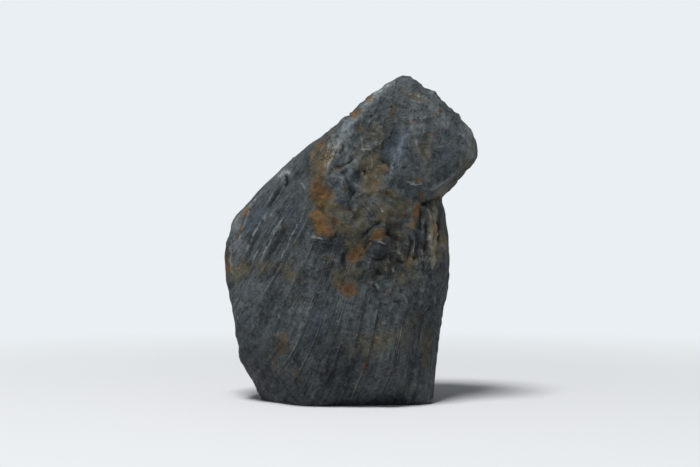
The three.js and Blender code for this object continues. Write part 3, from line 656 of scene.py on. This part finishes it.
# The same for the back, which has its own.
backStains = {
    "wide": ((30, 150), 18, 9, 40, 0.6, 0.4),
    "high": ((48, 198), 7, 13, 25, 0.5, 0.6),
    "leftRust": ((-52, 118), 10, 18, 30, 0.6, 0.55),
    "lowRust": ((-6, 74), 16, 7, -35, 0.55, 0.7),
    "small": ((8, 112), 9, 5, 50, 0.5, 0.3),
    "foot": ((48, 52), 8, 16, -30, 0.45, 0.1),
}


# How the ovals end: how far out they reach, in half widths, and the size, cell, seed and octaves of the
# noise that frays them. The left tip takes the front's stains all round.
ovals = {"reach": 1.8, "stainFray": (0.8, 7, 21, 4), "tintFray": (0.45, 10, 27, 3), "leftTip": (-80, -90),
         "backFacing": (0, 0.3), "crestRounds": 3}


def frayed(p, size, cell, seed, octaves):
    return size * layeredNoise(p / cell, seed, octaves)


def blots(view, table, facing, ragged):
    # each row's oval: 1 in its middle and fading outwards, with a ragged edge; and its last two values
    for at, wide, tall, turn, one, other in table.values():
        a = math.radians(turn)
        dx, dz = view[:, 0] - at[0], view[:, 1] - at[1]
        u, v = dx * math.cos(a) + dz * math.sin(a), dz * math.cos(a) - dx * math.sin(a)
        r = np.hypot(u / wide, v / tall)
        yield smooth(ovals["reach"], 0.0, r + ragged) * facing, one, other


def stained(p, view, table, facing):
    # strength and tone of the strongest stain at each point
    ragged = frayed(p, *ovals["stainFray"])
    strength, tone = np.zeros(len(p)), np.zeros(len(p))
    for here, most, red in blots(view, table, facing, ragged):
        tone = np.where(here * most > strength, red, tone)
        strength = np.maximum(strength, here * most)
    return strength, tone


def tinted(p, view, table, facing):
    # the summed warmth and shade of the wide tints
    ragged = frayed(p, *ovals["tintFray"])
    warm, shade = np.zeros(len(p)), np.zeros(len(p))
    for here, warmth, light in blots(view, table, facing, ragged):
        warm += here * warmth
        shade += here * light
    return warm, shade


def convexity(p, n, quads, rounds):
    # how far each point stands out of its neighbours' mean, along its normal; more rounds, wider look
    edges = np.concatenate([quads[:, [k, (k + 1) % 4]] for k in range(4)])
    count = np.bincount(edges[:, 0], minlength=len(p))
    mean = p.copy()
    for _ in range(rounds):
        mean = np.stack([np.bincount(edges[:, 0], mean[edges[:, 1], c], len(p)) for c in range(3)], 1)
        mean /= count[:, None]
    return np.sum((p - mean) * n, axis=1)


frontFacing = frontShare(rest, outward)
frontFacing = np.maximum(frontFacing, smooth(*ovals["leftTip"], rest[:, 0]))
backFacing = smooth(*ovals["backFacing"], outward[:, 1])
frontRust, frontTone = stained(rest, frontView(points), frontStains, frontFacing)
backRust, backTone = stained(rest, points[:, [0, 2]], backStains, backFacing)
rust = np.maximum(frontRust, backRust)
tone = np.where(frontRust > backRust, frontTone, backTone)
warm, shade = tinted(rest, frontView(points), frontTints, frontFacing)
crest = convexity(points, outward, quads, ovals["crestRounds"])
print("stains and edges measured: crest", np.percentile(crest, [5, 50, 95]).round(2))

mesh = bpy.data.meshes.new("stoneSkin")
mesh.from_pydata((points + move) / 1000, [], quads.tolist())
mesh.polygons.foreach_set("use_smooth", np.ones(len(quads), bool))
fields = {"rust": rust, "tone": tone, "warm": warm, "shade": shade, "crest": crest}
fields.update({name: area[name] for name in ("side", "light", "turn", "streak", "layered", "nose")})
for name, values in fields.items():
    mesh.attributes.new(name, "FLOAT", "POINT").data.foreach_set("value", values.astype(np.float32))
grain = mesh.attributes.new("layers", "FLOAT_VECTOR", "POINT")
grain.data.foreach_set("vector", area["layers"].astype(np.float32).ravel())
mesh.update()
skin = bpy.data.objects.new("stoneSkin", mesh)
bpy.context.scene.collection.objects.link(skin)
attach(skin, "root")
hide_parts("stone")
print("skin made:", len(mesh.polygons) * 2, "triangles")


class Wire:
    # an output socket with arithmetic: an expression on wires adds its Math nodes
    def __init__(self, tree, socket):
        self.tree = tree
        self.socket = socket

    def node(self, kind, settings=None, inputs=None, output=0):
        made = self.tree.nodes.new(kind)
        for key, value in (settings or {}).items():
            if key == "stops":
                ramp = made.color_ramp
                while len(ramp.elements) < len(value):
                    ramp.elements.new(1)
                for element, (at, colour) in zip(ramp.elements, value):
                    element.position = at
                    element.color = colour
            else:
                setattr(made, key, value)
        for key, value in (inputs or {}).items():
            if isinstance(value, Wire):
                self.tree.links.new(value.socket, made.inputs[key])
            else:
                made.inputs[key].default_value = value
        return Wire(self.tree, made.outputs[output])

    def maths(self, operation, a, b=0.0, clamp=False):
        return self.node("ShaderNodeMath", {"operation": operation, "use_clamp": clamp}, {0: a, 1: b})

    def __add__(self, other):
        return self.maths("ADD", self, other)

    def __radd__(self, other):
        return self.maths("ADD", other, self)

    def __sub__(self, other):
        return self.maths("SUBTRACT", self, other)

    def __rsub__(self, other):
        return self.maths("SUBTRACT", other, self)

    def __mul__(self, other):
        return self.maths("MULTIPLY", self, other)

    def __rmul__(self, other):
        return self.maths("MULTIPLY", other, self)

    def __abs__(self):
        return self.maths("ABSOLUTE", self)

    def clamped(self):
        return self.maths("ADD", self, 0.0, True)

    def between(self, low, high):
        # 0 at low, 1 at high, eased and clamped
        settings = {"interpolation_type": "SMOOTHSTEP"}
        return self.node("ShaderNodeMapRange", settings, {"Value": self, "From Min": low, "From Max": high})

    def times(self, x, y, z):
        return self.node("ShaderNodeVectorMath", {"operation": "MULTIPLY"}, {0: self, 1: (x, y, z)})

    def noise(self, scale, detail=3.0, roughness=0.55):
        return self.node("ShaderNodeTexNoise", None,
                         {"Vector": self, "Scale": scale, "Detail": detail, "Roughness": roughness})

    def cells(self, scale):
        # three random values, as a colour, in each of many small cells
        return self.node("ShaderNodeTexVoronoi", None, {"Vector": self, "Scale": scale}, "Color")

    def parts(self):
        # the three channels of a colour or vector
        split = self.node("ShaderNodeSeparateXYZ", None, {"Vector": self})
        return [Wire(self.tree, out) for out in split.socket.node.outputs]

    def mixed(self, amount, other):
        # this colour turned into the other by the amount
        return self.node("ShaderNodeMix", {"data_type": "RGBA"}, {0: amount, 6: self, 7: other}, 2)


def display(red, green, blue):
    # colour as seen on a screen, 0 to 255, as linear light
    c = [v / 255 for v in (red, green, blue)]
    return (*[v / 12.92 if v < 0.04045 else ((v + 0.055) / 1.055) ** 2.4 for v in c], 1.0)


slate = {
    "dark": display(24, 28, 30),
    "light": display(82, 89, 92),
    "blue": display(60, 70, 83),
    "olive": display(85, 77, 57),
    "edge": display(124, 129, 131),
    "streak": display(124, 128, 130),
    "cleft": display(14, 15, 14),
    "tan": display(112, 100, 74),
    "ochre": display(116, 92, 47),
    "orange": display(110, 73, 37),
    "red": display(62, 40, 28),
    "brown": display(88, 68, 44),
    "cream": display(140, 131, 112),
    "specular": 0.14,
}


def slateMaterial():
    material = bpy.data.materials.new("slate")
    material.use_nodes = True
    tree = material.node_tree
    shader = tree.nodes["Principled BSDF"]
    shader.inputs["Specular IOR Level"].default_value = slate["specular"]
    start = Wire(tree, None)
    place = start.node("ShaderNodeTexCoord", None, None, "Object")

    def field(name, output="Fac"):
        return start.node("ShaderNodeAttribute", {"attribute_name": name}, None, output)

    def centred(wire):
        # noise around zero
        return wire - 0.5

    layers = field("layers", "Vector")
    layered = field("layered")
    cloud = centred(place.noise(24.0, 4.0))
    mottle = centred(place.noise(110.0, 5.0, 0.65))
    grain = centred(place.noise(260.0, 4.0, 0.7))
    speck = centred(place.noise(620.0, 3.0, 0.7))
    even = centred(place.noise(150.0, 6.0, 0.7))
    drawn = centred(layers.times(1 / 4, 1 / 16, 1 / 9).noise(1.0, 6.0, 0.68))
    flake = even + (drawn - even) * (0.4 + layered * 0.6)
    fibre = layers.times(1 / 2.4, 1 / 46, 1 / 14).noise(1.0, 3.0, 0.6)
    band = centred(layers.times(1 / 6, 1 / 75, 1 / 25).noise(1.0, 3.0, 0.6)) * layered

    # small angular patches, each a little lighter or darker and warmer or cooler than the next
    bent = start.node("ShaderNodeTexNoise", None, {"Vector": place, "Scale": 130.0, "Detail": 3.0}, "Color")
    bentPlace = start.node("ShaderNodeVectorMath", {"operation": "MULTIPLY_ADD"},
                           {0: bent, 1: (0.003, 0.003, 0.003), 2: place})
    bentLayers = start.node("ShaderNodeVectorMath", {"operation": "MULTIPLY_ADD"},
                            {0: bent, 1: (1.5, 1.5, 1.5), 2: layers.times(1 / 4, 1 / 26, 1 / 12)})
    calm = 1 - field("nose") * 0.45

    def patches(inPlace, inLayers):
        # three random values around zero for each patch: even ones, or drawn out along the layers
        both = zip(bentPlace.cells(inPlace).parts(), bentLayers.cells(inLayers).parts())
        return [(centred(one) + (other - one) * layered) * calm for one, other in both]

    wide = patches(170.0, 1.0)
    small = patches(400.0, 2.3)[0]

    # blue-grey ground, cloudy and finely mottled, lighter and darker, bluer and olive, and lightened and
    # darkened by the tints' shade, part of which is painted light and shade
    rough = 1 - layered * 0.5
    tones = (cloud * 0.8 + band * 1.4 + mottle * 0.9 + flake * 1.1 + grain * 1.4 + speck * 1.4
             + wide[0] * 0.24 + small * 0.3 * rough + field("shade") * 0.38).between(-0.75, 0.85)
    ground = start.node("ShaderNodeMix", {"data_type": "RGBA"},
                        {0: tones, 6: slate["dark"], 7: slate["light"]}, 2)
    warmth = (field("warm") + field("rust") * 0.7 + centred(place.noise(33.0, 3.0, 0.6)) * 2.0
              + mottle * 1.4 + flake * 0.6 + wide[1] * 0.3)
    ground = ground.mixed((0 - warmth).between(0.1, 1.2) * 0.6, slate["blue"])
    ground = ground.mixed(warmth.between(0.1, 1.3) * 0.8, slate["olive"])
    # a strongly negative shade turns the ground dark: painted shade, such as on the nose's underside
    ground = ground.mixed((0 - field("shade")).between(0.5, 2.2) * 0.85, slate["dark"])

    # layer edges: pale thin lines on the step crests with a dark line behind, and finer fibres
    phase = start.maths("FRACT", field("turn"))
    streak = field("streak")
    broken = layers.times(1 / 5, 1 / 26, 1 / 12).noise(1.0, 3.0, 0.6).between(0.4, 0.62)
    line = (1 - abs(phase - 0.8) * 16).clamped() * streak * broken
    groove = (1 - abs(phase - 0.93) * 9).clamped() * streak
    second = start.maths("FRACT", field("turn") * 2.7 + 0.3)
    other = layers.times(1 / 3, 1 / 18, 1 / 12).noise(1.0, 3.0, 0.6).between(0.44, 0.62) * layered
    line = line + (1 - abs(second - 0.5) * 7).clamped() * other * 0.4
    groove = groove + (1 - abs(second - 0.75) * 5).clamped() * other * 0.8
    thin = (1 - abs(fibre - 0.5) * 30).clamped() * (mottle * 1.0 + 0.5).between(0.45, 0.65) * layered
    ground = ground.mixed(groove.clamped() * 0.5, slate["cleft"])
    ground = ground.mixed((line * 0.42 + thin * 0.16).clamped(), slate["streak"])

    # crests paler, as worn edges and as a painted highlight on them, and the drawn pale lines, which are
    # thin and wander to and fro; the rim and bevel lines among them are painted highlights
    crests = field("crest")
    wornAndLitCrests = (crests * 1.3 + grain * 1.2 + flake * 0.6 + field("shade") * 0.4).between(0.15, 1.0)
    ground = ground.mixed(wornAndLitCrests * 0.5, slate["edge"])
    wander = centred(place.noise(260.0, 4.0, 0.65)) * 3.2
    trace = (1 - abs(field("side") + wander)).between(0.0, 0.8)
    pale = trace * field("light")
    grit = 0.5 + grain * 2.6 + drawn * 1.6
    edge = start.node("ShaderNodeMix", {"data_type": "RGBA"},
                      {0: warmth.between(0.3, 1.2), 6: slate["edge"], 7: slate["cream"]}, 2)
    ground = ground.mixed((pale * grit).between(0.08, 0.9) * 0.8, edge)
    bright = (grain * 1.0 + speck * 1.0).between(0.24, 0.36)
    ground = ground.mixed(bright * 0.5, slate["edge"])

    # fine cracks where a rough noise crosses its middle, broken into short lengths
    crack = (1 - abs(place.noise(75.0, 6.0, 0.7) - 0.5) * 45).clamped()
    crack = crack * (mottle + cloud * 0.5).between(0.0, 0.1) * rough * calm
    ground = ground.mixed(crack * 0.42, slate["cleft"])

    # small tan flecks, most of them on the warm parts
    tan = centred(place.noise(190.0, 4.0, 0.65)).between(0.07, 0.2) * warmth.between(-0.6, 1.2)
    ground = ground.mixed(tan * 0.5, slate["tan"])

    # rust: ochre to orange to dark red, in soft clouds broken up by the grain
    stops = [(0.0, slate["ochre"]), (0.5, slate["orange"]), (1.0, slate["red"])]
    reddish = (field("tone") + mottle * 2.6 + flake * 1.2 + wide[2] * 0.4).clamped()
    rustColour = start.node("ShaderNodeValToRGB", {"stops": stops}, {"Fac": reddish}, "Color")
    stain = field("rust")
    patchy = layers.times(1 / 4, 1 / 7, 1 / 6).noise(1.0, 4.0, 0.65).between(0.36, 0.58)
    ragged = mottle * 3.4 + grain * 1.4 + flake * 1.4 + wide[0] * 0.25
    rust = (stain * 1.05 + ragged * stain.between(0.0, 0.35)).between(0.42, 1.1)
    under = (stain + mottle * 1.6 + flake * 0.8).between(0.0, 1.0) * stain.between(0.0, 0.4)
    ground = ground.mixed(under * 0.62, slate["brown"])
    ground = ground.mixed(rust * (patchy * 0.55 + 0.24), rustColour)
    dark = (0 - grain * 0.5 - speck * 0.3 - mottle * 1.5 - flake * 1.0).between(-0.08, 0.3)
    ground = ground.mixed(under * dark * 0.8, slate["cleft"])

    # dark clefts, pits and crevices: painted shade where the surface is hollow, dark pits, and the dark
    # drawn lines, of which those in the notch, left of the lobe, under the block and under the upper crack
    # are painted shadow
    hollow = ((0 - crests) * 1.3 + grain * 1.0).between(0.15, 0.9)
    ground = ground.mixed(hollow * 0.6, slate["cleft"])
    pits = (0 - even - grain * 0.9 - speck * 0.4).between(0.15, 0.27) * rough
    ground = ground.mixed(pits * 0.65, slate["cleft"])
    ground = ground.mixed((0 - pale * (0.8 + grain * 1.5)).between(0.1, 1.1) * 0.85, slate["cleft"])
    tree.links.new(ground.socket, shader.inputs["Base Color"])

    sheen = 0.62 + mottle * 0.25 + rust * 0.14
    tree.links.new(sheen.socket, shader.inputs["Roughness"])

    height = (even * (1 - layered * 0.6) * calm * 0.0011 + drawn * (0.3 + layered * 0.7) * 0.0012
              + mottle * calm * 0.0009
              + grain * 0.0009 + speck * 0.0006 + fibre * layered * 0.0006 - crack * 0.0002 - pits * 0.0002
              + small * 0.00012 * rough + pale * 0.0003)
    bump = start.node("ShaderNodeBump", None, {"Strength": 1.0, "Distance": 1.0, "Height": height}, "Normal")
    tree.links.new(bump.socket, shader.inputs["Normal"])
    return material


mesh.materials.append(slateMaterial())
print("slate material made")

lens = bpy.data.cameras.new("camera")
lens.lens = camera["lens"]
lens.sensor_width = camera["sensor"]
eye = bpy.data.objects.new("camera", lens)
eye.location = (move[0] / 1000, (move[1] - camera["away"]) / 1000, camera["up"] / 1000)
eye.rotation_euler = (math.pi / 2, 0, 0)
bpy.context.scene.collection.objects.link(eye)
bpy.context.scene.camera = eye

stage = {
    "background": display(234, 239, 243),
    "floor": (0.56, 0.57, 0.58, 1),
    "floorRoughness": 0.9,
    "rings": 60,
    "spokes": 96,
    "fadeFrom": 0.1,
    "fadeTo": 0.8,
    "size": 30,
    "fill": 0.28,
    "keyPower": 100,
    "keySize": (0.9, 0.7),
    "keyAt": (-0.45, -0.9, 2.6),
    "keyAim": (0, 0, 0.12),
}


def floorDisc(radius, rings, spokes):
    # polar grid: points at r = radius * (ring / rings) squared, around a centre point
    r, a = np.meshgrid(radius * (np.arange(1, rings + 1) / rings) ** 2,
                       2 * np.pi * np.arange(spokes) / spokes, indexing="ij")
    at = np.stack([r * np.cos(a), r * np.sin(a), np.zeros_like(r)], -1).reshape(-1, 3)
    k = 1 + np.arange(rings * spokes).reshape(rings, spokes)
    square = np.stack([k[:-1], k[1:], np.roll(k[1:], -1, 1), np.roll(k[:-1], -1, 1)], -1).reshape(-1, 4)
    hub = np.stack([np.zeros(spokes, int), k[0], np.roll(k[0], -1)], 1)
    return np.vstack([np.zeros((1, 3)), at]), square.tolist() + hub.tolist()


def studio():
    discPoints, discFaces = floorDisc(stage["size"], stage["rings"], stage["spokes"])
    disc = bpy.data.meshes.new("floor")
    disc.from_pydata(discPoints, [], discFaces)
    floor = bpy.data.objects.new("floor", disc)
    bpy.context.scene.collection.objects.link(floor)
    paint = bpy.data.materials.new("floorPaint")
    paint.use_nodes = True
    tree = paint.node_tree
    near = tree.nodes["Principled BSDF"]
    near.inputs["Base Color"].default_value = stage["floor"]
    near.inputs["Roughness"].default_value = stage["floorRoughness"]
    start = Wire(tree, None)
    place = start.node("ShaderNodeTexCoord", None, None, "Object")
    away = start.node("ShaderNodeVectorMath", {"operation": "LENGTH"}, {0: place}, "Value")
    far = start.node("ShaderNodeEmission", None, {"Color": stage["background"], "Strength": 1.0})
    fade = away.between(stage["fadeFrom"], stage["fadeTo"])
    joined = start.node("ShaderNodeMixShader", None, {0: fade, 1: Wire(tree, near.outputs[0]), 2: far})
    tree.links.new(joined.socket, tree.nodes["Material Output"].inputs["Surface"])
    disc.materials.append(paint)

    world = bpy.data.worlds.new("studio")
    world.use_nodes = True
    tree = world.node_tree
    start = Wire(tree, None)
    seen = start.node("ShaderNodeLightPath", None, None, "Is Camera Ray")
    strength = stage["fill"] + seen * (1 - stage["fill"])
    sky = tree.nodes["Background"]
    sky.inputs["Color"].default_value = stage["background"]
    tree.links.new(strength.socket, sky.inputs["Strength"])
    bpy.context.scene.world = world

    key = bpy.data.lights.new("key", "AREA")
    key.shape = "RECTANGLE"
    key.size, key.size_y = stage["keySize"]
    key.energy = stage["keyPower"]
    lamp = bpy.data.objects.new("key", key)
    lamp.location = stage["keyAt"]
    aim = np.array(stage["keyAim"]) - np.array(stage["keyAt"])
    tip = math.atan2(math.hypot(aim[0], aim[1]), -aim[2])
    lamp.rotation_euler = (tip, 0, math.atan2(aim[1], aim[0]) - math.pi / 2)
    bpy.context.scene.collection.objects.link(lamp)


studio()
bpy.context.scene.view_settings.view_transform = "Standard"
print("camera and studio made")
